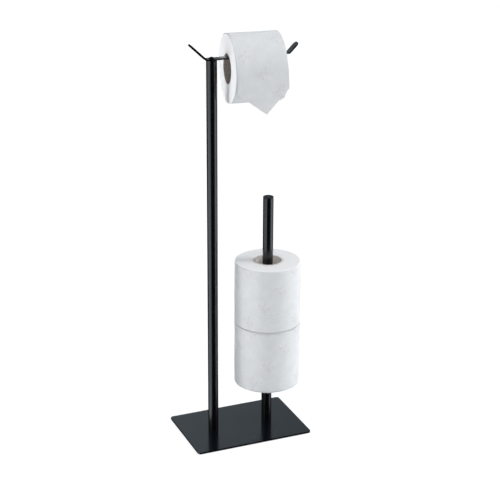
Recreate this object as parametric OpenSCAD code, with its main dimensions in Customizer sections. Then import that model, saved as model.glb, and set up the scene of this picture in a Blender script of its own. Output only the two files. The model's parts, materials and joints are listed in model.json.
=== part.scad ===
// Free-standing toilet paper holder. A flat steel plate carries two steel tubes: a tall
// one with a bent bar on top for the roll in use, and a short one that stores two rolls.
// Millimetres, +Z up. The origin is on the floor, under the middle of the base plate.
// X runs along the plate's long side, from the tall post to the short one; the loose
// end of the paper hangs on the -Y side.

/* [Base] */
// Length of the base plate, along X
base_l = 190; // [158:1:260]
// Depth of the base plate, along Y
base_w = 130; // [108:1:200]
// Thickness of the base plate
base_t = 3; // [2.6:0.1:8]
// Radius of the plate's corners
base_r = 5; // [1:0.5:20]
// Diameter of each foot pad
foot_d = 12; // [8:0.5:20]
// Thickness of each foot pad
foot_h = 1.5; // [1:0.1:5]
// Distance from the plate's edges to the middle of a foot pad
foot_inset = 13; // [10:0.5:25]

/* [Posts] */
// Outer diameter of both tubes
tube_d = 16; // [13:0.1:22]
// Wall of both tubes
tube_wall = 1.2; // [0.8:0.1:2]
// Distance between the two posts' axes
post_spacing = 91; // [76:1:120]
// Length of the tall tube
main_post_h = 594; // [500:1:720]
// Length of the short tube
spare_post_h = 374.5; // [345:0.5:450]
// Length of the threaded plug in each tube's end
plug_l = 14; // [8:0.5:25]
// Thickness of the short post's cap above its tube
cap_t = 2; // [1:0.1:5]

/* [Screws] */
// Thread diameter of the screws under the plate
foot_screw_d = 6; // [4:0.5:8]
// Head diameter of the screws under the plate
foot_head_d = 10.5; // [8.5:0.1:11]
// Length of the screws under the plate, head included
foot_screw_l = 14; // [10:0.5:17]
// Thread diameter of the screw on the bar
arm_screw_d = 5; // [3:0.5:6]
// Head diameter of the screw on the bar
arm_head_d = 9.5; // [7:0.1:11]
// Height of the head of the screw on the bar
arm_head_h = 2.2; // [1.5:0.1:4]
// Length of the thread of the screw on the bar
arm_screw_l = 12; // [8:0.5:14]
// Thread diameter of the grub screw in the roll rest
grub_d = 4; // [2.5:0.5:5]

/* [Roll bar] */
// Width of the flat bar
arm_w = 11; // [10:0.1:14]
// Thickness of the flat bar
arm_t = 2.5; // [2:0.1:4]
// Inner radius of the bar's two bends
bend_r = 2; // [1:0.1:4]
// From the tall post's axis to the start of the left bend
arm_left = 8; // [7:0.1:20]
// From the tall post's axis to the start of the right bend
arm_right = 119.5; // [100:0.5:145]
// Length of the left upturned end
left_tip_l = 33.5; // [20:0.5:45]
// Angle of the left upturned end
left_tip_angle = 43; // [20:1:60]
// Length of the right upturned end
right_tip_l = 18.5; // [12:0.5:30]
// Angle of the right upturned end
right_tip_angle = 45; // [20:1:60]

/* [Roll rest] */
// Height of the rest's top face above the plate
rest_z = 71.5; // [40:0.5:86]
// Diameter of the rest's disc
rest_d = 56; // [48:1:80]
// Thickness of the rest's disc
rest_t = 3; // [2:0.1:6]
// Wall of the rest's hub
hub_wall = 5; // [4:0.1:8]
// Height of the rest's hub below its disc
hub_h = 10; // [7:0.5:20]

/* [Paper rolls] */
// Inner diameter of every cardboard core
core_d = 43; // [35:0.5:52]
// Wall of every cardboard core
core_wall = 1.2; // [0.8:0.1:2]
// Diameter of a spare roll
spare_d = 103; // [85:1:124]
// Length of a spare roll
spare_l = 101; // [84:1:115]
// Diameter of the roll on the bar
hang_d = 102; // [85:1:124]
// Length of the roll on the bar
hang_l = 77; // [65:1:96]
// How far the roll on the bar lies from the middle of its free stretch
hang_shift = 0.5; // [-8:0.5:8]
// Angle by which the roll on the bar lies askew, right end forward
hang_yaw = 7; // [0:0.5:9]

/* [Loose end of paper] */
// Thickness of the loose sheet
sheet_t = 0.6; // [0.3:0.1:1]
// How far the sheet's left edge lies in from the roll's left face
sheet_inset = 3; // [0:0.5:10]
// From the roll's axis down to the corners of the folded point
sheet_drop = 27; // [15:1:80]
// From the roll's axis down to the folded point
sheet_point = 57; // [50:1:120]

/* [Clearances] */
// Radial gap between a plug or cap and the tube that it is pressed into
plug_fit = 0.05; // [0.02:0.01:0.2]
// Radial gap between a screw's shank and the hole that it passes through
screw_fit = 0.3; // [0.1:0.05:0.5]
// Radial gap between a thread and the hole that it is screwed into
thread_fit = 0.1; // [0.02:0.01:0.2]
// Radial gap between the roll rest and the short post
rest_fit = 0.1; // [0.05:0.01:0.3]
// Radial gap between a core and the paper wound on it
core_fit = 0.1; // [0.05:0.01:0.3]
// Gap between two rolls in the stack, and between the stack and its rest
stack_gap = 0.2; // [0.1:0.05:1]
// Gap between the bar's upper edges and the core that hangs on them
hang_gap = 0.25; // [0.1:0.05:1]
// Gap between the loose sheet and the roll behind it
sheet_gap = 0.3; // [0.2:0.05:1]

/* [Hidden] */
$fn = 96;
plate_top = foot_h + base_t;
main_x = -post_spacing / 2;
spare_x = post_spacing / 2;
tube_bore_d = tube_d - 2 * tube_wall;
plug_d = tube_bore_d - 2 * plug_fit;
socket_depth = 1.6;
bend_steps = 8;

arm_z = plate_top + main_post_h;
arm_top = arm_z + arm_t;

rest_top = plate_top + rest_z;
core_od = core_d + 2 * core_wall;

// The skewed core rests on the bar where the bar's edges are farthest from its axis.
contact_y = hang_l / 2 * tan(hang_yaw) + arm_w / 2 / cos(hang_yaw);
hang_z = arm_top + hang_gap - sqrt(pow(core_d / 2, 2) - pow(contact_y, 2));
hang_x = main_x + (tube_d / 2 + arm_right) / 2 + hang_shift;

// ---- shared shapes ----

// A rectangle with round corners, centred on the origin.
module rounded_rectangle(length, width, radius) {
    square([length - 2 * radius, width], center = true);
    square([length, width - 2 * radius], center = true);
    for (x = [-1, 1], y = [-1, 1])
        translate([x * (length / 2 - radius), y * (width / 2 - radius)]) circle(r = radius);
}

// A round pipe that stands on the origin.
module pipe(outer_d, inner_d, height) {
    difference() {
        cylinder(d = outer_d, h = height);
        translate([0, 0, -1]) cylinder(d = inner_d, h = height + 2);
    }
}

// The 90 degree countersunk shape of a foot screw's head, widest at the bottom.
module countersink(wide_d, narrow_d) {
    cylinder(d1 = wide_d, d2 = narrow_d, h = (wide_d - narrow_d) / 2);
}

// A hexagonal key socket, measured across its corners.
module hex_socket(across, depth) {
    cylinder(d = across, h = depth, $fn = 6);
}

// A threaded plug that closes one end of a tube.
module threaded_plug(thread_d) {
    color("silver") pipe(plug_d, thread_d + 2 * thread_fit, plug_l);
}

// A countersunk screw that holds one post to the plate from below, head down.
module foot_screw() {
    color([0.1, 0.1, 0.11]) difference() {
        union() {
            countersink(foot_head_d, foot_screw_d);
            cylinder(d = foot_screw_d, h = foot_screw_l);
        }
        translate([0, 0, -1]) hex_socket(foot_screw_d * 0.75, 1 + socket_depth);
    }
}

// The paper of one roll, standing on the origin.
module roll_paper(outer_d, length) {
    color("white") pipe(outer_d, core_od + 2 * core_fit, length);
}

// The cardboard core of one roll, standing on the origin.
module roll_core(length) {
    color([0.45, 0.4, 0.36]) pipe(core_od, core_d, length);
}

// Points on an arc about [0, arm_t + bend_r], for angles up from straight down.
function bend_arc(radius, from, to) = [
    for (i = [0:bend_steps])
        let (a = from + (to - from) * i / bend_steps)
            [radius * sin(a), arm_t + bend_r - radius * cos(a)]
];

// What is cut away around the bar's end to make it round, beyond the origin along +X.
module round_end_cut() {
    translate([0, 0, -1]) difference() {
        translate([0, -arm_w, 0]) cube([arm_w, 2 * arm_w, arm_t + 2]);
        cylinder(d = arm_w, h = arm_t + 2);
    }
}

// One end of the bar: a flat stretch up to the origin, a bend upward, then a straight
// leaf with a round end. It heads along +X and lies on the XY plane.
module upturned_end(flat_l, leaf_l, angle) {
    leaf = leaf_l * [cos(angle), sin(angle)];
    outer = bend_arc(bend_r + arm_t, 0, angle);
    inner = bend_arc(bend_r, angle, 0);
    difference() {
        translate([0, arm_w / 2, 0]) rotate([90, 0, 0]) linear_extrude(arm_w)
            polygon(concat(
                [[-flat_l, 0]], outer, [outer[bend_steps] + leaf],
                [inner[0] + leaf], inner, [[-flat_l, arm_t]]
            ));
        translate([0, 0, arm_t + bend_r]) rotate([0, -angle, 0])
            translate([leaf_l - arm_w / 2, 0, -arm_t - bend_r]) round_end_cut();
    }
}

// Places its children on the roll bar's roll: X along the roll's axis, from its middle.
module at_hanging_roll() {
    translate([hang_x, 0, hang_z]) rotate([0, 0, -hang_yaw]) children();
}

// Places its children at the foot of a roll in the stack: 0 is the lower one, 1 the upper.
module at_stack(place) {
    translate([spare_x, 0, rest_top + stack_gap + place * (spare_l + stack_gap)]) children();
}

// ---- base ----

module base_plate() {
    color([0.2, 0.21, 0.22]) difference() {
        translate([0, 0, foot_h]) linear_extrude(base_t) rounded_rectangle(base_l, base_w, base_r);
        for (x = [main_x, spare_x]) translate([x, 0, foot_h]) {
            translate([0, 0, -1]) cylinder(d = foot_screw_d + 2 * screw_fit, h = base_t + 2);
            countersink(foot_head_d + 2 * screw_fit, foot_screw_d + 2 * screw_fit);
        }
    }
}

module base_feet() {
    color([0.12, 0.12, 0.12])
        for (x = [-1, 1], y = [-1, 1])
            translate([x * (base_l / 2 - foot_inset), y * (base_w / 2 - foot_inset), 0])
                cylinder(d = foot_d, h = foot_h);
}

// ---- tall post ----

module main_post() {
    color([0.13, 0.13, 0.14]) translate([main_x, 0, plate_top]) pipe(tube_d, tube_bore_d, main_post_h);
}

module main_post_foot_plug() {
    translate([main_x, 0, plate_top]) threaded_plug(foot_screw_d);
}

module main_post_head_plug() {
    translate([main_x, 0, arm_z - plug_l]) threaded_plug(arm_screw_d);
}

module main_post_screw() {
    translate([main_x, 0, foot_h]) foot_screw();
}

// ---- short post ----

module spare_post() {
    color([0.13, 0.13, 0.14]) translate([spare_x, 0, plate_top]) pipe(tube_d, tube_bore_d, spare_post_h);
}

module spare_post_foot_plug() {
    translate([spare_x, 0, plate_top]) threaded_plug(foot_screw_d);
}

module spare_post_screw() {
    translate([spare_x, 0, foot_h]) foot_screw();
}

// A plastic cap with a shallow dish in its top and a stem pressed into the tube.
module spare_post_cap() {
    dish_d = tube_d * 0.7;
    dish_depth = cap_t * 0.25;
    color([0.16, 0.16, 0.17]) translate([spare_x, 0, plate_top + spare_post_h]) difference() {
        union() {
            cylinder(d = tube_d, h = cap_t);
            translate([0, 0, -plug_l]) cylinder(d = plug_d, h = plug_l);
        }
        translate([0, 0, cap_t - dish_depth]) cylinder(d = dish_d, h = dish_depth + 1);
    }
}

// ---- roll rest ----

hub_r = tube_d / 2 + rest_fit + hub_wall;
grub_z = rest_top - rest_t - hub_h / 2;

module roll_rest() {
    color([0.13, 0.13, 0.14]) difference() {
        translate([spare_x, 0, 0]) {
            translate([0, 0, rest_top - rest_t]) cylinder(d = rest_d, h = rest_t);
            translate([0, 0, rest_top - rest_t - hub_h]) cylinder(r = hub_r, h = hub_h + rest_t / 2);
        }
        translate([spare_x, 0, rest_top - rest_t - hub_h - 1])
            cylinder(d = tube_d + 2 * rest_fit, h = hub_h + rest_t + 2);
        translate([spare_x, 0, grub_z]) rotate([-90, 0, 0]) cylinder(d = grub_d + 2 * thread_fit, h = hub_r + 1);
    }
}

// The grub screw bears on the back of the post.
module rest_grub_screw() {
    tip_y = tube_d / 2 + rest_fit / 2;
    color([0.1, 0.1, 0.11]) translate([spare_x, tip_y, grub_z]) rotate([-90, 0, 0]) difference() {
        cylinder(d = grub_d, h = hub_r - tip_y);
        translate([0, 0, hub_r - tip_y - socket_depth]) hex_socket(grub_d / 2, socket_depth + 1);
    }
}

// ---- roll bar ----

module roll_bar() {
    color([0.13, 0.13, 0.14]) translate([main_x, 0, arm_z]) {
        difference() {
            union() {
                translate([arm_right, 0, 0])
                    upturned_end(arm_right + arm_left / 2, right_tip_l, right_tip_angle);
                translate([-arm_left, 0, 0]) rotate([0, 0, 180])
                    upturned_end(arm_left, left_tip_l, left_tip_angle);
            }
            translate([0, 0, -1]) cylinder(d = arm_screw_d + 2 * screw_fit, h = arm_t + 2);
        }
    }
}

// A screw with a low domed head, through the bar into the tall post's upper plug.
module roll_bar_screw() {
    dome_r = (pow(arm_head_d / 2, 2) + pow(arm_head_h, 2)) / (2 * arm_head_h);
    color([0.1, 0.1, 0.11]) translate([main_x, 0, arm_top]) difference() {
        union() {
            intersection() {
                cylinder(d = arm_head_d, h = arm_head_h);
                translate([0, 0, arm_head_h - dome_r]) sphere(r = dome_r);
            }
            translate([0, 0, -arm_screw_l]) cylinder(d = arm_screw_d, h = arm_screw_l + arm_head_h / 3);
        }
        translate([0, 0, arm_head_h - socket_depth]) hex_socket(arm_screw_d * 0.7, socket_depth + 1);
    }
}

// ---- roll in use ----

module hanging_roll_paper() {
    at_hanging_roll() translate([-hang_l / 2, 0, 0]) rotate([0, 90, 0]) roll_paper(hang_d, hang_l);
}

module hanging_roll_core() {
    at_hanging_roll() translate([-hang_l / 2, 0, 0]) rotate([0, 90, 0]) roll_core(hang_l);
}

// The loose end hangs from the roll's front, and its lower edge is folded to a point.
module loose_sheet() {
    left = sheet_inset - hang_l / 2;
    right = hang_l / 2;
    color("white") at_hanging_roll() translate([0, -hang_d / 2 - sheet_gap, 0]) rotate([90, 0, 0])
        linear_extrude(sheet_t)
            polygon([
                [left, 0], [left, -sheet_drop],
                [(left + right) / 2, -sheet_point],
                [right, -sheet_drop], [right, 0]
            ]);
}

// ---- spare rolls ----

module lower_roll_paper() {
    at_stack(0) roll_paper(spare_d, spare_l);
}

module lower_roll_core() {
    at_stack(0) roll_core(spare_l);
}

module upper_roll_paper() {
    at_stack(1) roll_paper(spare_d, spare_l);
}

module upper_roll_core() {
    at_stack(1) roll_core(spare_l);
}

base_plate();
base_feet();
main_post();
main_post_foot_plug();
main_post_head_plug();
main_post_screw();
spare_post();
spare_post_foot_plug();
spare_post_screw();
spare_post_cap();
roll_rest();
rest_grub_screw();
roll_bar();
roll_bar_screw();
hanging_roll_paper();
hanging_roll_core();
loose_sheet();
lower_roll_paper();
lower_roll_core();
upper_roll_paper();
upper_roll_core();
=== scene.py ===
# %% [markdown]
# A free-standing toilet paper holder: a flat steel plate, a tall post with a bent bar for the
# roll in use, and a short post for two spare rolls. The metal parts come from the CAD frame.
# Blender adds what CAD leaves out: softened edges, powder coat, wound paper and the loose
# sheet with its folded point. Every length in this script is in metres.

# %% Load the frame
import json
import math

import bpy
import numpy as np
from mathutils import Matrix, Vector, noise

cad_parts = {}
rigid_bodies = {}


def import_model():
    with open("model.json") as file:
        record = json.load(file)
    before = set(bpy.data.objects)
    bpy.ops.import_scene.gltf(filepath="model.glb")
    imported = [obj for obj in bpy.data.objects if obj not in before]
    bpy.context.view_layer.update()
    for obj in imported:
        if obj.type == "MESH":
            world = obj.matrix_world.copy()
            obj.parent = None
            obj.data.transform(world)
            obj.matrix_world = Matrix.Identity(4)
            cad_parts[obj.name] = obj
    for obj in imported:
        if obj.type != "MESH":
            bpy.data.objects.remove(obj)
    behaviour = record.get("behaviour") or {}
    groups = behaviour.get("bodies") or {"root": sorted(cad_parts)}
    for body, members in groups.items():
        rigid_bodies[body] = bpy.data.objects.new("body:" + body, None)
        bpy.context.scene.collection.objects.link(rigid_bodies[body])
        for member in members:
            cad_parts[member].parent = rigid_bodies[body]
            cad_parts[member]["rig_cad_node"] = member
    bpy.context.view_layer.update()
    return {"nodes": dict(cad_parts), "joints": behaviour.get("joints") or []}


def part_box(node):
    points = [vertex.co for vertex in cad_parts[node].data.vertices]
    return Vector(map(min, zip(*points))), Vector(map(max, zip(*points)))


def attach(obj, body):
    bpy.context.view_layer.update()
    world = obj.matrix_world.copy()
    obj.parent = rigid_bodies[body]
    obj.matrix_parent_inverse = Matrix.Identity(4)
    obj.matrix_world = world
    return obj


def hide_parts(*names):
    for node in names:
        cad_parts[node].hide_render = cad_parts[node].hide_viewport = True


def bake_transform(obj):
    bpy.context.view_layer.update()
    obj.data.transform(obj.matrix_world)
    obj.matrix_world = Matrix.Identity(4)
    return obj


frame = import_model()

nodes = frame["nodes"]

# %% [markdown]
# An operator works on whatever is selected, and the frame arrives selected. So each step
# first clears the selection and then picks the one piece that it works on.

# %% Selecting one piece


def pick(piece):
    """Selects this piece alone, in object mode."""
    if bpy.context.object is not None and bpy.context.object.mode != "OBJECT":
        bpy.ops.object.mode_set(mode="OBJECT")
    bpy.ops.object.select_all(action="DESELECT")
    piece.select_set(True)
    bpy.context.view_layer.objects.active = piece


def apply_all(piece):
    """Applies the piece's modifiers from the top, as the Apply button does."""
    pick(piece)
    for modifier in list(piece.modifiers):
        bpy.ops.object.modifier_apply(modifier=modifier.name)


def points_of(piece):
    """The mesh's points as an array with one row each."""
    found = np.zeros(len(piece.data.vertices) * 3)
    piece.data.vertices.foreach_get("co", found)
    return found.reshape(-1, 3)


def move_points(piece, places):
    """Puts the mesh's points at these places."""
    piece.data.vertices.foreach_set("co", np.asarray(places, dtype=float).ravel())
    piece.data.update()


# %% [markdown]
# The camera stands a little left of the holder's front and above it, with a long lens, so
# that the upright posts stay nearly parallel.

# %% Camera
CAMERA_AZIMUTH = math.radians(22.861)
CAMERA_PITCH = math.radians(20.76)
CAMERA_ROLL = math.radians(0.296)
bpy.ops.object.camera_add(location=(-0.75914, -1.83810, 1.05478))
camera = bpy.context.object
camera.name = "camera"
swing = Matrix.Rotation(-CAMERA_AZIMUTH, 3, "Z")
tilt = Matrix.Rotation(math.pi / 2 - CAMERA_PITCH, 3, "X")
roll = Matrix.Rotation(CAMERA_ROLL, 3, "Z")
camera.rotation_euler = (swing @ tilt @ roll).to_euler()
camera.data.lens = 100.74
camera.data.sensor_width = 36
bpy.context.scene.camera = camera
print("camera looks down by", round(math.degrees(CAMERA_PITCH), 2), "degrees")

# %% [markdown]
# The holder stands on a white sweep. To the camera the floor glows by itself and takes only
# a little of the lights' shading, so it just reaches white everywhere except in the soft
# shadow close to the plate. Any brighter, and it would eat into the outlines of the thin
# posts. The posts are satin and would mirror the floor, so the floor is hidden from glossy
# rays, as black flags hide it in a studio.

# %% Floor
FLOOR_SIZE = 14
FLOOR_PALE = 0.85
FLOOR_TO_CAMERA = 0.3
GLOW_NEAR = (0.3, 0.82)
GLOW_FAR = (3.0, 0.98)
bpy.ops.mesh.primitive_plane_add(size=FLOOR_SIZE, location=(0, 0, 0))
floor = bpy.context.object
floor.name = "floor"
floor.visible_glossy = False
floor_paint = bpy.data.materials.new("floor_white")
floor_paint.use_nodes = True
floor_shader = floor_paint.node_tree.nodes["Principled BSDF"]
floor_shader.inputs["Roughness"].default_value = 1
floor_shader.inputs["Specular IOR Level"].default_value = 0
floor_shader.inputs["Emission Color"].default_value = (1, 1, 1, 1)
floor_nodes = floor_paint.node_tree.nodes
floor_place = floor_nodes.new("ShaderNodeTexCoord")
floor_reach = floor_nodes.new("ShaderNodeVectorMath")
floor_reach.operation = "LENGTH"
floor_glow = floor_nodes.new("ShaderNodeMapRange")
floor_glow.inputs["From Min"].default_value = GLOW_NEAR[0]
floor_glow.inputs["To Min"].default_value = GLOW_NEAR[1]
floor_glow.inputs["From Max"].default_value = GLOW_FAR[0]
floor_glow.inputs["To Max"].default_value = GLOW_FAR[1]
floor_tone = floor_nodes.new("ShaderNodeMapRange")
floor_tone.inputs["To Min"].default_value = FLOOR_PALE
floor_tone.inputs["To Max"].default_value = FLOOR_TO_CAMERA
floor_ray = floor_nodes.new("ShaderNodeLightPath")
floor_seen = floor_nodes.new("ShaderNodeMath")
floor_seen.operation = "MULTIPLY"
for source, target in (
    (floor_place.outputs["Object"], floor_reach.inputs[0]),
    (floor_reach.outputs["Value"], floor_glow.inputs["Value"]),
    (floor_glow.outputs["Result"], floor_seen.inputs[0]),
    (floor_ray.outputs["Is Camera Ray"], floor_seen.inputs[1]),
    (floor_seen.outputs["Value"], floor_shader.inputs["Emission Strength"]),
    (floor_ray.outputs["Is Camera Ray"], floor_tone.inputs["Value"]),
    (floor_tone.outputs["Result"], floor_shader.inputs["Base Color"]),
):
    floor_paint.node_tree.links.new(source, target)
floor.data.materials.append(floor_paint)
print("floor", floor.dimensions[:2], "glows", GLOW_NEAR[1], "to", GLOW_FAR[1])

# %% [markdown]
# The world is white to the camera. Everything else sees one soft bright patch, low and
# behind the holder. The flat plate mirrors that patch, brighter at its back left than at
# its front right, and the dark everywhere else turns the middle of each post nearly black.

# %% World
world = bpy.data.worlds.new("studio")
bpy.context.scene.world = world
world.use_nodes = True
sky = world.node_tree
sky.nodes.clear()
direction = sky.nodes.new("ShaderNodeTexCoord")
towards_back = sky.nodes.new("ShaderNodeVectorMath")
towards_back.operation = "DOT_PRODUCT"
towards_back.inputs[1].default_value = (0.049, 0.926, 0.375)
sky.links.new(direction.outputs["Generated"], towards_back.inputs[0])
rise = sky.nodes.new("ShaderNodeMapRange")
rise.interpolation_type = "SMOOTHSTEP"
rise.inputs["From Min"].default_value = 0.85
rise.inputs["From Max"].default_value = 1.0
rise.inputs["To Min"].default_value = 0.04
rise.inputs["To Max"].default_value = 0.8
sky.links.new(towards_back.outputs["Value"], rise.inputs["Value"])
split = sky.nodes.new("ShaderNodeSeparateXYZ")
sky.links.new(direction.outputs["Generated"], split.inputs["Vector"])
above = sky.nodes.new("ShaderNodeMapRange")
above.interpolation_type = "SMOOTHSTEP"
above.inputs["From Min"].default_value = -0.05
above.inputs["From Max"].default_value = 0.15
sky.links.new(split.outputs["Z"], above.inputs["Value"])
level = sky.nodes.new("ShaderNodeMath")
level.operation = "MULTIPLY"
sky.links.new(rise.outputs["Result"], level.inputs[0])
sky.links.new(above.outputs["Result"], level.inputs[1])
seen = sky.nodes.new("ShaderNodeBackground")
seen.inputs["Color"].default_value = (1, 1, 1, 1)
unseen = sky.nodes.new("ShaderNodeBackground")
unseen.inputs["Color"].default_value = (0.78, 0.91, 1, 1)
sky.links.new(level.outputs["Value"], unseen.inputs["Strength"])
ray = sky.nodes.new("ShaderNodeLightPath")
choice = sky.nodes.new("ShaderNodeMixShader")
sky.links.new(ray.outputs["Is Camera Ray"], choice.inputs["Fac"])
sky.links.new(unseen.outputs["Background"], choice.inputs[1])
sky.links.new(seen.outputs["Background"], choice.inputs[2])
out = sky.nodes.new("ShaderNodeOutputWorld")
sky.links.new(choice.outputs["Shader"], out.inputs["Surface"])
bpy.context.scene.view_settings.view_transform = "Standard"
print("world nodes", len(sky.nodes))

# %% [markdown]
# One wide softbox overhead lights the floor and the tops of the rolls. Two stand at the
# sides, and a weak one fills the front. The left wrap casts no shadow, so that the tall
# post leaves no dark stripe on the paper. None of these shines in the metal. The last two
# are cards that do the opposite: they light nothing, and only draw the long highlights
# down the posts, one on each side of a dark middle.

# %% Softboxes and cards


def softbox(name, place, aim, size, watts, lights=True, shines=True):
    """A rectangular light, turned from its place towards the aim."""
    bpy.ops.object.light_add(type="AREA", location=place)
    lamp = bpy.context.object
    lamp.name = name
    lamp.data.shape = "RECTANGLE"
    lamp.data.size = size[0]
    lamp.data.size_y = size[1]
    lamp.data.energy = watts
    lamp.data.color = (1, 1, 1) if lights else (0.86, 0.94, 1)
    turn = (Vector(aim) - Vector(place)).to_track_quat("-Z", "Y")
    lamp.rotation_euler = turn.to_euler()
    lamp.visible_camera = False
    lamp.visible_diffuse = lights
    lamp.visible_glossy = shines
    return lamp


softbox("overhead", (0.1, -0.3, 2.3), (0, 0, 0.2), (2.4, 2.4), 28, shines=False)
softbox("front_fill", (-0.6, -2.6, 1.3), (0, 0, 0.3), (2.4, 2.0), 8, shines=False)
softbox("right_side", (1.9, -0.7, 0.9), (0, 0, 0.3), (1.2, 1.8), 39, shines=False)
softbox("left_side", (-2.0, 0.0, 0.45), (0, 0, 0.3), (1.6, 1.8), 16, shines=False)
left_wrap = softbox("left_wrap", (-2.0, -0.2, 0.45), (0, 0, 0.3), (1.6, 1.8), 20, shines=False)
left_wrap.data.use_shadow = False
softbox("left_card", (-1.62, -0.12, -0.35), (-0.05, 0, -0.35), (2.1, 2.4), 34, lights=False)
softbox("right_card", (1.48, -0.76, 0.0), (0.05, 0, 0.0), (1.6, 1.5), 18, lights=False)

# %% [markdown]
# Every finish starts the same way: a new material, its principled shader, and a short way
# to add and join nodes.

# %% Finish helpers


def new_finish(name, colour, roughness):
    """A material with its uniform values set on the shader itself."""
    finish = bpy.data.materials.new(name)
    finish.use_nodes = True
    shader = finish.node_tree.nodes["Principled BSDF"]
    shader.inputs["Base Color"].default_value = (*colour, 1)
    shader.inputs["Roughness"].default_value = roughness
    return finish, shader


def add(finish, kind, **values):
    """Adds a node. Values name its properties or, after an underscore, its inputs."""
    node = finish.node_tree.nodes.new("ShaderNode" + kind)
    for key, value in values.items():
        if key.startswith("_"):
            node.inputs[key[1:].replace("_", " ")].default_value = value
        else:
            setattr(node, key, value)
    return node


def join(finish, *ends):
    """Joins an output to an input, or several in turn: output, input, output, input."""
    for source, target in zip(ends[::2], ends[1::2]):
        finish.node_tree.links.new(source, target)


def grain(finish, source, scale, detail=2.0):
    """Noise read at these coordinates."""
    node = add(finish, "TexNoise", _Scale=scale, _Detail=detail)
    join(finish, source, node.inputs["Vector"])
    return node


# %% [markdown]
# Black powder coat is a thin baked plastic skin. Close up it has a fine pebbled surface
# like orange peel, about a millimetre across, and its gloss wanders a little. Noise on the
# object's own coordinates gives both, and stays put when a part moves.

# %% Powder coat


def powder_coat(name, colour, roughness, pebble=0.12):
    """Baked black powder coat: pebbled, with a gloss that wanders slightly."""
    finish, shader = new_finish(name, colour, roughness)
    place = add(finish, "TexCoord").outputs["Object"]
    gloss = grain(finish, place, 35, 4)
    spread = add(finish, "MapRange", _To_Min=roughness - 0.03, _To_Max=roughness + 0.04)
    join(finish, gloss.outputs["Fac"], spread.inputs["Value"])
    join(finish, spread.outputs["Result"], shader.inputs["Roughness"])
    pebbles = grain(finish, place, 900, 1)
    bump = add(finish, "Bump", _Strength=pebble, _Distance=0.0002)
    join(finish, pebbles.outputs["Fac"], bump.inputs["Height"])
    join(finish, bump.outputs["Normal"], shader.inputs["Normal"])
    return finish


tube_coat = powder_coat("powder_coat_tube", (0.003, 0.0032, 0.004), 0.24)
plate_coat = powder_coat("powder_coat_plate", (0.0028, 0.0042, 0.0068), 0.17)
print(tube_coat.name, plate_coat.name)

# %% [markdown]
# The small parts: blackened screws, the moulded plastic cap and the rubber feet, each with a
# fine skin of its own, and bare steel plugs with turning marks, hidden in the tubes.

# %% Small finishes


def skin(finish, shader, scale, detail, strength, distance):
    """Fine bumps all over, from noise on the object's own coordinates."""
    place = add(finish, "TexCoord").outputs["Object"]
    marks = grain(finish, place, scale, detail)
    bump = add(finish, "Bump", _Strength=strength, _Distance=distance)
    join(finish, marks.outputs["Fac"], bump.inputs["Height"])
    join(finish, bump.outputs["Normal"], shader.inputs["Normal"])


screw_black, screw_shader = new_finish("blackened_steel", (0.008, 0.008, 0.009), 0.32)
screw_shader.inputs["Metallic"].default_value = 0.6
skin(screw_black, screw_shader, 1500, 3, 0.1, 0.0001)

cap_plastic, cap_shader = new_finish("moulded_plastic", (0.008, 0.008, 0.009), 0.45)
cap_shader.inputs["Specular IOR Level"].default_value = 0.28
skin(cap_plastic, cap_shader, 1400, 2, 0.12, 0.0001)

foot_rubber, foot_shader = new_finish("foot_rubber", (0.02, 0.02, 0.02), 0.8)
skin(foot_rubber, foot_shader, 700, 3, 0.25, 0.0002)

plug_steel, plug_shader = new_finish("turned_steel", (0.55, 0.56, 0.57), 0.35)
plug_shader.inputs["Metallic"].default_value = 1
plug_place = add(plug_steel, "TexCoord").outputs["Object"]
plug_rings = add(plug_steel, "TexWave", bands_direction="Z", _Scale=900, _Distortion=1.5)
plug_bump = add(plug_steel, "Bump", _Strength=0.15, _Distance=0.0001)
join(plug_steel, plug_place, plug_rings.inputs["Vector"])
join(plug_steel, plug_rings.outputs["Fac"], plug_bump.inputs["Height"])
join(plug_steel, plug_bump.outputs["Normal"], plug_shader.inputs["Normal"])
print("small finishes", screw_black.name, plug_steel.name, cap_plastic.name, foot_rubber.name)

# %% [markdown]
# A core is a tube of grey-brown board, wound as a slanting strip, so a thin seam climbs
# round it in a helix. The seam comes from the angle round the core's axis added to the
# height along it. A Mapping node first brings the core's own axis onto Z.

# %% Cardboard
SEAM_CLIMB = 0.075


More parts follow.
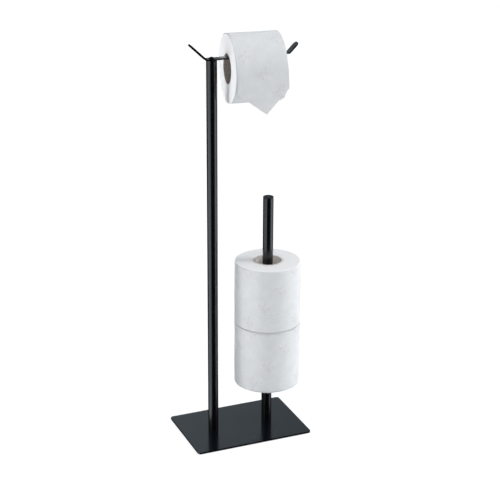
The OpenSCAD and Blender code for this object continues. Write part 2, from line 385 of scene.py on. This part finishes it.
def cardboard(name, centre, turn, dark, light):
    """Core board with a helical seam, for a core at this centre and turn."""
    finish, shader = new_finish(name, dark, 0.85)
    place = add(finish, "TexCoord").outputs["Object"]
    local = add(finish, "Mapping", vector_type="TEXTURE", _Location=centre, _Rotation=turn)
    join(finish, place, local.inputs["Vector"])
    axes = add(finish, "SeparateXYZ")
    join(finish, local.outputs["Vector"], axes.inputs["Vector"])
    angle = add(finish, "Math", operation="ARCTAN2")
    join(finish, axes.outputs["Y"], angle.inputs[0], axes.outputs["X"], angle.inputs[1])
    turns = add(finish, "Math", operation="MULTIPLY_ADD")
    turns.inputs[1].default_value = 1 / (2 * math.pi)
    climb = add(finish, "Math", operation="MULTIPLY")
    climb.inputs[1].default_value = 1 / SEAM_CLIMB
    join(finish, axes.outputs["Z"], climb.inputs[0], angle.outputs[0], turns.inputs[0])
    join(finish, climb.outputs[0], turns.inputs[2])
    strip = add(finish, "Math", operation="FRACT")
    join(finish, turns.outputs[0], strip.inputs[0])
    seam = add(finish, "MapRange", _From_Min=0.0, _From_Max=0.03)
    join(finish, strip.outputs[0], seam.inputs["Value"])
    fibres = grain(finish, local.outputs["Vector"], 420, 5)
    tone = add(finish, "ValToRGB")
    tone.color_ramp.elements[0].position = 0.3
    tone.color_ramp.elements[0].color = (*dark, 1)
    tone.color_ramp.elements[1].position = 0.75
    tone.color_ramp.elements[1].color = (*light, 1)
    join(finish, fibres.outputs["Fac"], tone.inputs["Fac"])
    shade = add(finish, "Mix", data_type="RGBA", blend_type="MULTIPLY")
    shade.inputs["Factor"].default_value = 0.5
    join(finish, tone.outputs["Color"], shade.inputs["A"])
    join(finish, seam.outputs["Result"], shade.inputs["B"])
    join(finish, shade.outputs["Result"], shader.inputs["Base Color"])
    bump = add(finish, "Bump", _Strength=0.3, _Distance=0.0003)
    join(finish, seam.outputs["Result"], bump.inputs["Height"])
    join(finish, bump.outputs["Normal"], shader.inputs["Normal"])
    return finish


hinge = next(j for j in frame["joints"] if j["name"] == "roll_turn")
roll_middle = Vector(hinge["pos_m"])
roll_axis = Vector(hinge["axis"]).normalized()
roll_front = Vector((roll_axis.y, -roll_axis.x, 0))
yaw = math.atan2(roll_axis.y, roll_axis.x)
stack_x = (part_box("upper_roll_core")[0].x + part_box("upper_roll_core")[1].x) / 2
# The spare cores' board is painted far lighter than grey-brown board: painted light in their
# bores, lit from above.
upright_board_painted_light = cardboard(
    "core_board_upright_painted_light", (stack_x, 0, 0), (0, 0, 0), (0.78, 0.74, 0.71), (0.88, 0.85, 0.82)
)
# The hanging core's board is painted darker than the same board: painted shade inside its bore.
hanging_board_painted_shade = cardboard(
    "core_board_hanging_painted_shade",
    tuple(roll_middle),
    (0, math.pi / 2, yaw),
    (0.24, 0.21, 0.19),
    (0.33, 0.29, 0.265),
)
print("roll axis", [round(v, 3) for v in roll_axis], "front", [round(v, 3) for v in roll_front])

# %% [markdown]
# Toilet tissue is soft and matt. It is creped, so it has fine wrinkles across its length,
# and it is pressed with tiny dots. A faint two-leaf sprig is printed on it in staggered
# rows. The pattern reads a UV map in metres: the first number runs along the paper and the
# second across it, so one finish serves the rolls and the loose sheet. On the cut ends of
# a roll the face attribute "side" is 0, and there the layers show instead of the print.

# %% Sprig print
PRINT_STEP = 0.0809
PRINT_ROW = 0.027
PRINT_SHIFT = 0.026


def leaf(finish, cell, middle, turn, half_width, half_length):
    """The drawn outline of one leaf, as 1 on the line and 0 off it."""
    shape = add(finish, "Mapping", vector_type="TEXTURE", _Location=(*middle, 0))
    shape.inputs["Rotation"].default_value = (0, 0, math.radians(turn))
    shape.inputs["Scale"].default_value = (half_width, half_length, 1)
    join(finish, cell, shape.inputs["Vector"])
    reach = add(finish, "VectorMath", operation="LENGTH")
    join(finish, shape.outputs["Vector"], reach.inputs[0])
    off = add(finish, "Math", operation="SUBTRACT")
    off.inputs[1].default_value = 0.8
    join(finish, reach.outputs["Value"], off.inputs[0])
    size = add(finish, "Math", operation="ABSOLUTE")
    join(finish, off.outputs[0], size.inputs[0])
    line = add(finish, "MapRange", _From_Min=0.12, _From_Max=0.34, _To_Min=1.0, _To_Max=0.0)
    join(finish, size.outputs[0], line.inputs["Value"])
    return line.outputs["Result"]


def sprig(finish, flat):
    """Two leaves, a bud and a stalk, repeated in staggered rows over the paper."""
    axes = add(finish, "SeparateXYZ")
    join(finish, flat, axes.inputs["Vector"])
    row = add(finish, "Math", operation="DIVIDE")
    row.inputs[1].default_value = PRINT_ROW
    whole = add(finish, "Math", operation="FLOOR")
    join(finish, axes.outputs["Y"], row.inputs[0], row.outputs[0], whole.inputs[0])
    along = add(finish, "Math", operation="MULTIPLY_ADD")
    along.inputs[1].default_value = -PRINT_SHIFT
    join(finish, whole.outputs[0], along.inputs[0], axes.outputs["X"], along.inputs[2])
    step = add(finish, "Math", operation="DIVIDE")
    step.inputs[1].default_value = PRINT_STEP
    join(finish, along.outputs[0], step.inputs[0])
    cell = add(finish, "CombineXYZ")
    for number, target, size in ((step, "X", PRINT_STEP), (row, "Y", PRINT_ROW)):
        part = add(finish, "Math", operation="FRACT")
        join(finish, number.outputs[0], part.inputs[0])
        centred = add(finish, "Math", operation="MULTIPLY_ADD")
        centred.inputs[1].default_value = size
        centred.inputs[2].default_value = -size / 2
        join(finish, part.outputs[0], centred.inputs[0], centred.outputs[0], cell.inputs[target])
    drawn = None
    for middle, turn, width, length in (
        ((-0.0040, 0.0026), 40, 0.0026, 0.0060),
        ((0.0046, -0.0012), -50, 0.0025, 0.0058),
        ((0.0012, 0.0078), -10, 0.0019, 0.0036),
        ((0.0016, -0.0072), 15, 0.0009, 0.0044),
    ):
        line = leaf(finish, cell.outputs["Vector"], middle, turn, width, length)
        if drawn is None:
            drawn = line
            continue
        both = add(finish, "Math", operation="MAXIMUM")
        join(finish, drawn, both.inputs[0], line, both.inputs[1])
        drawn = both.outputs[0]
    return drawn


# %% Tissue
def tissue_finish(name):
    """Matt creped tissue with pressed dots, a faint print, and layered cut ends whose whiter
    colour is painted light.
    """
    finish, shader = new_finish(name, (0.82, 0.84, 0.86), 0.95)
    shader.inputs["Specular IOR Level"].default_value = 0
    shader.inputs["Sheen Weight"].default_value = 0.08
    shader.inputs["Sheen Roughness"].default_value = 0.6
    flat = add(finish, "UVMap", uv_map="wound").outputs["UV"]
    side = add(finish, "Attribute", attribute_name="side").outputs["Fac"]
    drawn_out = add(finish, "Mapping", _Scale=(110, 330, 1))
    join(finish, flat, drawn_out.inputs["Vector"])
    streaks = grain(finish, drawn_out.outputs["Vector"], 1, 4)
    clouds = grain(finish, flat, 60, 5)
    tone = add(finish, "Mix", data_type="FLOAT")
    tone.inputs["Factor"].default_value = 0.6
    join(finish, streaks.outputs["Fac"], tone.inputs["A"])
    join(finish, clouds.outputs["Fac"], tone.inputs["B"])
    whites = add(finish, "ValToRGB")
    whites.color_ramp.elements[0].position = 0.35
    whites.color_ramp.elements[0].color = (0.71, 0.735, 0.755, 1)
    whites.color_ramp.elements[1].position = 0.65
    whites.color_ramp.elements[1].color = (0.775, 0.795, 0.815, 1)
    join(finish, tone.outputs["Result"], whites.inputs["Fac"])
    drawn = sprig(finish, flat)
    inked = add(finish, "Math", operation="MULTIPLY")
    join(finish, drawn, inked.inputs[0], side, inked.inputs[1])
    faint = add(finish, "Math", operation="MULTIPLY")
    faint.inputs[1].default_value = 0.3
    join(finish, inked.outputs[0], faint.inputs[0])
    ink = add(finish, "Mix", data_type="RGBA")
    ink.inputs["B"].default_value = (0.60, 0.53, 0.56, 1)
    join(finish, faint.outputs[0], ink.inputs["Factor"])
    join(finish, whites.outputs["Color"], ink.inputs["A"])
    # The cut ends are painted whiter than the rolled side: painted light, for the side light
    # falling on the end faces.
    ends = add(finish, "Mix", data_type="RGBA")
    ends.inputs["A"].default_value = (0.92, 0.925, 0.94, 1)
    join(finish, side, ends.inputs["Factor"])
    join(finish, ink.outputs["Result"], ends.inputs["B"])
    join(finish, ends.outputs["Result"], shader.inputs["Base Color"])
    creped = add(finish, "Mapping", _Scale=(700, 420, 1))
    join(finish, flat, creped.inputs["Vector"])
    crepe = grain(finish, creped.outputs["Vector"], 1, 3)
    dots = add(finish, "TexVoronoi", feature="SMOOTH_F1", _Scale=520)
    join(finish, flat, dots.inputs["Vector"])
    pressed = add(finish, "Math", operation="MULTIPLY_ADD")
    pressed.inputs[1].default_value = 0.5
    join(finish, dots.outputs["Distance"], pressed.inputs[0])
    join(finish, crepe.outputs["Fac"], pressed.inputs[2])
    embossed = add(finish, "Math", operation="MULTIPLY_ADD")
    embossed.inputs[1].default_value = -0.8
    join(finish, inked.outputs[0], embossed.inputs[0], pressed.outputs[0], embossed.inputs[2])
    layered = add(finish, "Mapping", _Scale=(30, 1700, 1))
    join(finish, flat, layered.inputs["Vector"])
    layers = grain(finish, layered.outputs["Vector"], 1, 2)
    height = add(finish, "Mix", data_type="FLOAT")
    join(finish, side, height.inputs["Factor"], layers.outputs["Fac"], height.inputs["A"])
    join(finish, embossed.outputs[0], height.inputs["B"])
    bump = add(finish, "Bump", _Strength=0.35, _Distance=0.0003)
    join(finish, height.outputs["Result"], bump.inputs["Height"])
    join(finish, bump.outputs["Normal"], shader.inputs["Normal"])
    return finish


tissue = tissue_finish("tissue_paper")
print("tissue nodes", len(tissue.node_tree.nodes))

# %% [markdown]
# The round parts that CAD already made right keep their meshes. They only get a finish, in
# place of the plain one they came with.

# %% Finishes on the CAD parts
CAD_FINISHES = {
    "main_post": tube_coat,
    "spare_post": tube_coat,
    "roll_rest": tube_coat,
    "main_post_screw": screw_black,
    "spare_post_screw": screw_black,
    "rest_grub_screw": screw_black,
    "roll_bar_screw": screw_black,
    "main_post_foot_plug": plug_steel,
    "main_post_head_plug": plug_steel,
    "spare_post_foot_plug": plug_steel,
    "base_feet": foot_rubber,
    "hanging_roll_core": hanging_board_painted_shade,
    "lower_roll_core": upright_board_painted_light,
    "upper_roll_core": upright_board_painted_light,
}


def coat(piece, finish):
    """Gives the piece this finish alone."""
    piece.data.materials.clear()
    piece.data.materials.append(finish)


for node_name, node_finish in CAD_FINISHES.items():
    coat(nodes[node_name], node_finish)
print("finished CAD parts", len(CAD_FINISHES))

# %% [markdown]
# Sheet steel is blanked and then coated, so its edges are never knife sharp. Each flat part
# is a copy of its CAD node. The copy's loose triangles are merged, flat areas are dissolved
# into whole faces, and a small Bevel modifier rounds the rims. Weighted normals then keep
# the flat faces looking flat. Modelling the plate from scratch would only repeat the CAD
# work and could drift from its size.

# %% Softened copies


def softened_copy(node_name, name, width, segments, finish):
    """A copy of a CAD node with rounded rims, which stands for that node."""
    pick(nodes[node_name])
    bpy.ops.object.duplicate()
    piece = bpy.context.object
    piece.name = name
    piece.data.name = name
    piece.parent = None
    del piece["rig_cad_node"]
    pick(piece)
    bpy.ops.object.mode_set(mode="EDIT")
    bpy.ops.mesh.select_all(action="SELECT")
    bpy.ops.mesh.remove_doubles(threshold=0.000002)
    bpy.ops.mesh.dissolve_limited(angle_limit=math.radians(1))
    bpy.ops.object.mode_set(mode="OBJECT")
    if "custom_normal" in piece.data.attributes:
        piece.data.attributes.remove(piece.data.attributes["custom_normal"])
    bpy.ops.object.modifier_add(type="BEVEL")
    rounding = piece.modifiers[-1]
    rounding.width = width
    rounding.segments = segments
    rounding.limit_method = "ANGLE"
    rounding.angle_limit = math.radians(40)
    rounding.use_clamp_overlap = True
    apply_all(piece)
    bpy.ops.object.shade_smooth_by_angle(angle=math.radians(50))
    bpy.ops.object.modifier_add(type="WEIGHTED_NORMAL")
    piece.modifiers[-1].keep_sharp = True
    apply_all(piece)
    coat(piece, finish)
    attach(piece, "stand")
    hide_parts(node_name)
    print(name, len(piece.data.polygons), "faces")
    return piece


softened_copy("base_plate", "base_plate_coated", 0.0006, 3, plate_coat)
softened_copy("roll_bar", "roll_bar_coated", 0.0004, 3, tube_coat)
softened_copy("spare_post_cap", "spare_post_cap_moulded", 0.0006, 3, cap_plastic)

# %% [markdown]
# A roll is one strip wound round its core. Its cross-section is a tall thin rectangle with
# soft corners, so that outline is drawn from a plane and spun round the axis. Spinning
# gives clean rings of points, which are then moved a little: the last turn of paper leaves
# a step where it ends, the middle bulges, and the rims give where rolls press together.

# %% Winding a roll


def round_corners(piece, where, width):
    """Rounds the outline's corners that lie where the test says."""
    bpy.ops.object.mode_set(mode="OBJECT")
    for vertex in piece.data.vertices:
        vertex.select = where(vertex.co)
    bpy.ops.object.mode_set(mode="EDIT")
    bpy.ops.mesh.select_mode(type="VERT")
    bpy.ops.mesh.bevel(offset=width, segments=5, affect="VERTICES")


def roll_outline(name, inner, outer, length, top_rim, foot_rim):
    """The roll's cross-section as a closed line, standing on +X beside the axis."""
    bpy.ops.mesh.primitive_plane_add(size=1, rotation=(math.pi / 2, 0, 0))
    piece = bpy.context.object
    piece.name = name
    piece.data.name = name
    bpy.ops.object.transform_apply(location=True, rotation=True, scale=True)
    bpy.ops.object.mode_set(mode="EDIT")
    bpy.ops.mesh.select_all(action="SELECT")
    bpy.ops.transform.resize(value=(outer - inner, 1, length))
    bpy.ops.transform.translate(value=((outer + inner) / 2, 0, 0))
    middle = (inner + outer) / 2
    round_corners(piece, lambda spot: spot.x > middle and spot.z > 0, top_rim)
    round_corners(piece, lambda spot: spot.x > middle and spot.z < -0.4 * length, foot_rim)
    round_corners(piece, lambda spot: spot.x < inner + 0.0001, 0.0007)
    bpy.ops.mesh.select_all(action="SELECT")
    bpy.ops.mesh.delete(type="ONLY_FACE")
    bpy.ops.object.mode_set(mode="OBJECT")
    return piece


def cut_long_lines(piece, upright, cuts):
    """Cuts the outline's straight sides into short ones, upright or level."""
    bpy.ops.object.mode_set(mode="OBJECT")
    for vertex in piece.data.vertices:
        vertex.select = False
    for line in piece.data.edges:
        start, end = (piece.data.vertices[i].co for i in line.vertices)
        span = end - start
        line.select = span.length > 0.008 and (abs(span.z) > abs(span.x)) == upright
    bpy.ops.object.mode_set(mode="EDIT")
    bpy.ops.mesh.select_mode(type="EDGE")
    bpy.ops.mesh.subdivide(number_cuts=cuts)
    bpy.ops.object.mode_set(mode="OBJECT")


def spun_roll(name, inner, outer, length, top_rim=0.0022, foot_rim=0.0022):
    """The outline spun into a closed ring round the Z axis, centred on the origin."""
    piece = roll_outline(name, inner, outer, length, top_rim, foot_rim)
    pick(piece)
    cut_long_lines(piece, True, 36)
    cut_long_lines(piece, False, 9)
    bpy.ops.object.mode_set(mode="EDIT")
    bpy.ops.mesh.select_mode(type="VERT")
    bpy.ops.mesh.select_all(action="SELECT")
    bpy.ops.mesh.spin(steps=180, angle=2 * math.pi, center=(0, 0, 0), axis=(0, 0, 1))
    bpy.ops.mesh.select_all(action="SELECT")
    bpy.ops.mesh.remove_doubles(threshold=0.00001)
    bpy.ops.mesh.normals_make_consistent(inside=False)
    bpy.ops.object.mode_set(mode="OBJECT")
    print(name, len(piece.data.polygons), "faces, closed:", is_closed(piece))
    return piece


def is_closed(piece):
    """True when every edge has two faces."""
    uses = {}
    for face in piece.data.polygons:
        for key in face.edge_keys:
            uses[key] = uses.get(key, 0) + 1
    return set(uses.values()) == {2}


# %% [markdown]
# The UV map unrolls the paper: along the turn on one side, across the roll on the other.
# Each face is measured from its own middle, so the faces at the seam don't wrap back.

# %% Unrolling and shaping
LIP_WIDTH = 0.0009
LIP_OVERHANG = 0.0010
PAPER_STEP = 0.0004
DENTS = 0.00035
END_DENTS = 0.0005


def unroll(piece, radius, length, start, middle_row):
    """Writes the UV map in metres, and marks which faces are the rolled side."""
    mesh = piece.data
    layer = mesh.uv_layers.new(name="wound")
    side = mesh.attributes.new("side", "FLOAT", "FACE")
    places = points_of(piece)
    for face in mesh.polygons:
        angle_here = math.atan2(face.center.y, face.center.x)
        out_here = math.hypot(face.center.x, face.center.y)
        outside = abs(face.normal.z) < 0.7 and out_here > radius * 0.8
        side.data[face.index].value = 1.0 if outside else 0.0
        for loop in face.loop_indices:
            x, y, z = places[mesh.loops[loop].vertex_index]
            turn = (math.atan2(y, x) - angle_here + math.pi) % (2 * math.pi) - math.pi
            along = (angle_here + turn) * radius - start
            across = z - middle_row + PRINT_ROW / 2
            if not outside:
                across = math.hypot(x, y) + length
            layer.data[loop].uv = (along + PRINT_STEP / 2, across)


def shape_roll(piece, inner, radius, length, tail, bulge, spreads, seed):
    """Moves the points: a lip over the core's ends, the paper's end step, bulge and dents."""
    places = points_of(piece)
    for row in places:
        out_here = math.hypot(row[0], row[1])
        angle = math.atan2(row[1], row[0])
        if out_here < inner + LIP_WIDTH and abs(row[2]) > length / 2 + 0.00002:
            row[0] *= 1 - LIP_OVERHANG / out_here
            row[1] *= 1 - LIP_OVERHANG / out_here
            continue
        share = (out_here - inner) / (radius - inner)
        level = 2 * row[2] / length
        wound = ((angle - tail) / (2 * math.pi)) % 1.0
        step = PAPER_STEP * (wound - 0.5)
        belly = bulge * (1 - level**2)
        rim = (spreads[0] if level > 0 else spreads[1]) * level**6
        soft = noise.noise(Vector((3 * math.cos(angle), 3 * math.sin(angle), 18 * row[2] + seed)))
        moved = share**2 * (step + belly + rim + DENTS * soft)
        row[0] += math.cos(angle) * moved
        row[1] += math.sin(angle) * moved
        dish = noise.noise(Vector((25 * row[0], 25 * row[1], seed + 9 * np.sign(row[2]))))
        if abs(level) > 0.9:
            row[2] += np.sign(row[2]) * END_DENTS * dish
    move_points(piece, places)


# %% [markdown]
# Each spare roll is wound upright at the origin, moved to its place in the stack, and its
# place is applied, so that the finished object sits at the origin as the CAD nodes do. The
# ends that press on each other have tight rims and spread a little.

# %% Spare rolls


def place_roll(piece, middle, body, node_name):
    """Moves the finished roll to its place, applies it, and ties it to its body."""
    pick(piece)
    bpy.ops.transform.translate(value=middle)
    bpy.ops.object.transform_apply(location=True, rotation=True, scale=True)
    bpy.ops.object.shade_smooth_by_angle(angle=math.radians(50))
    coat(piece, tissue)
    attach(piece, body)
    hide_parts(node_name)


def spare_roll(name, node_name, body, tail, sprig_angle, sprig_height, rims, spreads, seed):
    """One spare roll, wound to the size of its CAD node."""
    low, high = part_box(node_name)
    outer = (high.x - low.x) / 2
    length = high.z - low.z
    middle = (low + high) / 2
    inner = (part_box(node_name.replace("paper", "core"))[1].x - middle.x) + 0.0001
    piece = spun_roll(name, inner, outer - 0.0004, length + 0.00012, *rims)
    start = math.radians(sprig_angle) * outer
    unroll(piece, outer, length, start, sprig_height - middle.z)
    shape_roll(piece, inner, outer, length, tail, 0.0004, spreads, seed)
    place_roll(piece, middle, body, node_name)
    return piece


spare_roll(
    "upper_roll_wound",
    "upper_roll_paper",
    "upper_roll",
    tail=0.9,
    sprig_angle=-90.7,
    sprig_height=0.2442,
    rims=(0.0024, 0.0003),
    spreads=(0, 0.0006),
    seed=4.0,
)
spare_roll(
    "lower_roll_wound",
    "lower_roll_paper",
    "lower_roll",
    tail=2.1,
    sprig_angle=-82.0,
    sprig_height=0.1444,
    rims=(0.0003, 0.0024),
    spreads=(0.0005, 0.0002),
    seed=11.0,
)

# %% [markdown]
# The roll in use lies on the bar, slightly skewed. It is wound upright like the others, then
# turned on its side and swung to the axis of its hinge. Its surface stays just below the
# loose sheet, which is its outermost turn.

# %% Roll in use
hanging_low, hanging_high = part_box("hanging_roll_paper")
hanging_radius = (hanging_high.z - hanging_low.z) / 2
hanging_span = hanging_high.x - hanging_low.x
hanging_length = (hanging_span - 2 * hanging_radius * abs(math.sin(yaw))) / math.cos(yaw)
core_low, core_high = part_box("hanging_roll_core")
hanging_inner = (core_high.z - core_low.z) / 2 + 0.0001
print("hanging roll", round(hanging_radius, 4), round(hanging_length, 4), round(hanging_inner, 4))

hanging_roll = spun_roll(
    "hanging_roll_wound",
    hanging_inner,
    hanging_radius - 0.0006,
    hanging_length + 0.0003,
    0.0012,
    0.0012,
)
unroll(hanging_roll, hanging_radius, hanging_length, 0.02, 0.01)
shape_roll(
    hanging_roll, hanging_inner, hanging_radius, hanging_length, 0.4, 0.0, (0, 0), 21.0
)
pick(hanging_roll)
hanging_roll.rotation_euler = (0, math.pi / 2, yaw)
bpy.ops.object.transform_apply(location=True, rotation=True, scale=True)
place_roll(hanging_roll, roll_middle, "hanging_roll", "hanging_roll_paper")

# %% [markdown]
# The loose sheet is made the way a hand makes it. A flat strip is laid out, both lower
# corners are folded behind to leave a point, and the strip is then wrapped over the roll:
# round its top, and straight down from where it leaves the front. Rows of points are close
# together just under the roll's front, because there the sheet is drawn out as the roll
# turns. A cloth simulation would round off the creases, so the folds are made exactly.

# %% Flat strip
SHEET_RADIUS = hanging_radius + 0.0001
SHEET_WIDTH = 0.0759
SHEET_DROP = 0.0574
SHEET_LEAN = 0.055
TUCK = math.radians(128)
STRETCH_START = 0.006
STRETCH_END = 0.017
tangent_at = TUCK * SHEET_RADIUS
sheet_rows = list(np.linspace(0, tangent_at, 44))
sheet_rows += list(np.linspace(tangent_at + 0.001, tangent_at + STRETCH_START, 5))
sheet_rows += list(np.linspace(tangent_at + 0.0065, tangent_at + STRETCH_END, 22))
sheet_rows += list(np.linspace(tangent_at + 0.0185, tangent_at + SHEET_DROP, 26))

bpy.ops.mesh.primitive_grid_add(
    x_subdivisions=36, y_subdivisions=len(sheet_rows) - 1, size=1
)
loose_sheet = bpy.context.object
loose_sheet.name = "loose_sheet_folded"
loose_sheet.data.name = "loose_sheet_folded"
strip = points_of(loose_sheet)
for row in strip:
    number = int(round((0.5 - row[1]) * (len(sheet_rows) - 1)))
    run = sheet_rows[number]
    lean = SHEET_LEAN * max(0.0, run - tangent_at + 0.022)
    row[0] = row[0] * SHEET_WIDTH + lean
    row[1] = -run
    row[2] = 0
move_points(loose_sheet, strip)
while loose_sheet.data.uv_layers:
    loose_sheet.data.uv_layers.remove(loose_sheet.data.uv_layers[0])
sheet_uv = loose_sheet.data.uv_layers.new(name="wound")
for loop in loose_sheet.data.loops:
    x, y, z = strip[loop.vertex_index]
    along = -y - tangent_at + 0.0023 + PRINT_STEP / 2 + 4 * PRINT_STEP
    sheet_uv.data[loop.index].uv = (along, x + 0.0018 + PRINT_ROW / 2)
print("strip", round(SHEET_WIDTH, 4), "by", round(sheet_rows[-1], 4))

# %% [markdown]
# A fold is a cut line across the strip and a half turn of everything beyond it. Bisect
# draws the line and splits the faces that it crosses. The turned part lands behind, a
# paper's thickness away.

# %% Folding the corners
FOLD_GAP = 0.0007


def flat_spot(across, height):
    """A spot on the flat strip, from its place across the roll and its height."""
    return Vector((across, -(tangent_at - height), 0))


def fold(piece, start, end, gap):
    """Folds whatever lies below the line from start to end, to the back of the strip."""
    line = (end - start).normalized()
    below = Vector((line.y, -line.x, 0))
    if below.y > 0:
        below = -below
    pick(piece)
    bpy.ops.object.mode_set(mode="EDIT")
    bpy.ops.mesh.select_mode(type="VERT")
    bpy.ops.mesh.select_all(action="SELECT")
    bpy.ops.mesh.bisect(plane_co=start, plane_no=below, threshold=0.00002)
    bpy.ops.object.mode_set(mode="OBJECT")
    places = points_of(piece)
    for row in places:
        over = (Vector(row) - start).dot(below)
        if over > 0.00005 and row[2] > -0.0001:
            row[0] -= 2 * over * below.x
            row[1] -= 2 * over * below.y
            row[2] -= gap * min(1.0, over / 0.002)
    move_points(piece, places)


left_corner = flat_spot(-0.0353, -0.0273)
point = flat_spot(0.0058, -SHEET_DROP + 0.0001)
right_corner = flat_spot(0.0404, -0.0215)
fold(loose_sheet, left_corner, point, FOLD_GAP)
fold(loose_sheet, point, right_corner, FOLD_GAP)
print("folded strip", len(loose_sheet.data.polygons), "faces")

# %% [markdown]
# The right-hand fold isn't quite crisp: a small ear of paper stands out of it. The points
# near the crease are drawn outwards, most at the ear's tip.

# %% The ear on the right-hand fold
EAR_RUN = 0.013
EAR_DEPTH = 0.008
ear_start = flat_spot(0.0274, -0.0354)
ear_tip = flat_spot(0.0325, -0.0357)
crease = (right_corner - point).normalized()
outward = Vector((crease.y, -crease.x, 0))
tip_run = (ear_tip - ear_start).dot(crease)
reach = (ear_tip - ear_start).dot(outward)
creased = points_of(loose_sheet)
for row in creased:
    run = (Vector(row) - ear_start).dot(crease)
    depth = -(Vector(row) - ear_start).dot(outward)
    if 0 < run < EAR_RUN and -0.001 < depth < EAR_DEPTH:
        rise_here = run / tip_run if run < tip_run else (EAR_RUN - run) / (EAR_RUN - tip_run)
        pull = reach * max(0.0, rise_here) * (1 - max(0.0, depth) / EAR_DEPTH)
        row[0] += outward.x * pull
        row[1] += outward.y * pull
move_points(loose_sheet, creased)
print("ear stands out by", round(reach, 4))

# %% [markdown]
# Wrapping takes the flat strip to its place. Before the tangent a point's run becomes an
# angle round the roll; after it, a drop straight down. Its first edge dips under the roll's
# surface, so no end shows. Small waves keep the tissue from looking like card.

# %% Wrapping the sheet over the roll
TUCK_RUN = 0.012
TUCK_DEPTH = 0.0012
WAVES = 0.00022
FINE_WAVES = 0.00012
SWAY = 0.0011
CURL = 0.0022
PLY_THICKNESS = 0.00025
flat = points_of(loose_sheet)
wrapped = []
for x, y, z in flat:
    run = -y
    tuck = max(0.0, 1 - run / TUCK_RUN)
    wave = WAVES * (1 + noise.noise(Vector((x * 38, run * 30, 2.0))))
    wave += FINE_WAVES * noise.noise(Vector((x * 90, run * 160, 5.0)))
    below = max(0.0, run - tangent_at)
    share = below / SHEET_DROP
    sway = SWAY * share**1.5 * math.sin(2.2 * x / SHEET_WIDTH * math.pi + 0.6)
    curl = CURL * share**2
    out_by = SHEET_RADIUS + z + wave * (1 - tuck) - TUCK_DEPTH * tuck**1.5
    if run < tangent_at:
        angle = (tangent_at - run) / SHEET_RADIUS
        spot = roll_front * (out_by * math.cos(angle)) + Vector((0, 0, out_by * math.sin(angle)))
    else:
        spot = roll_front * (out_by + sway + curl) - Vector((0, 0, below))
    wrapped.append(roll_middle + spot + roll_axis * x)
move_points(loose_sheet, wrapped)

pick(loose_sheet)
bpy.ops.object.modifier_add(type="SOLIDIFY")
ply = loose_sheet.modifiers[-1]
ply.thickness = PLY_THICKNESS
ply.offset = 0
apply_all(loose_sheet)
bpy.ops.object.shade_smooth_by_angle(angle=math.radians(50))
sheet_side = loose_sheet.data.attributes.new("side", "FLOAT", "FACE")
sheet_side.data.foreach_set("value", np.ones(len(loose_sheet.data.polygons)))
coat(loose_sheet, tissue)
print("sheet", len(loose_sheet.data.polygons), "faces, closed:", is_closed(loose_sheet))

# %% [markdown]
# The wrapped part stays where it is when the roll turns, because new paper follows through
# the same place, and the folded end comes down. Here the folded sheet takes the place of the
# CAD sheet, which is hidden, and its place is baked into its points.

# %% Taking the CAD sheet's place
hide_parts("loose_sheet")
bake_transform(loose_sheet)
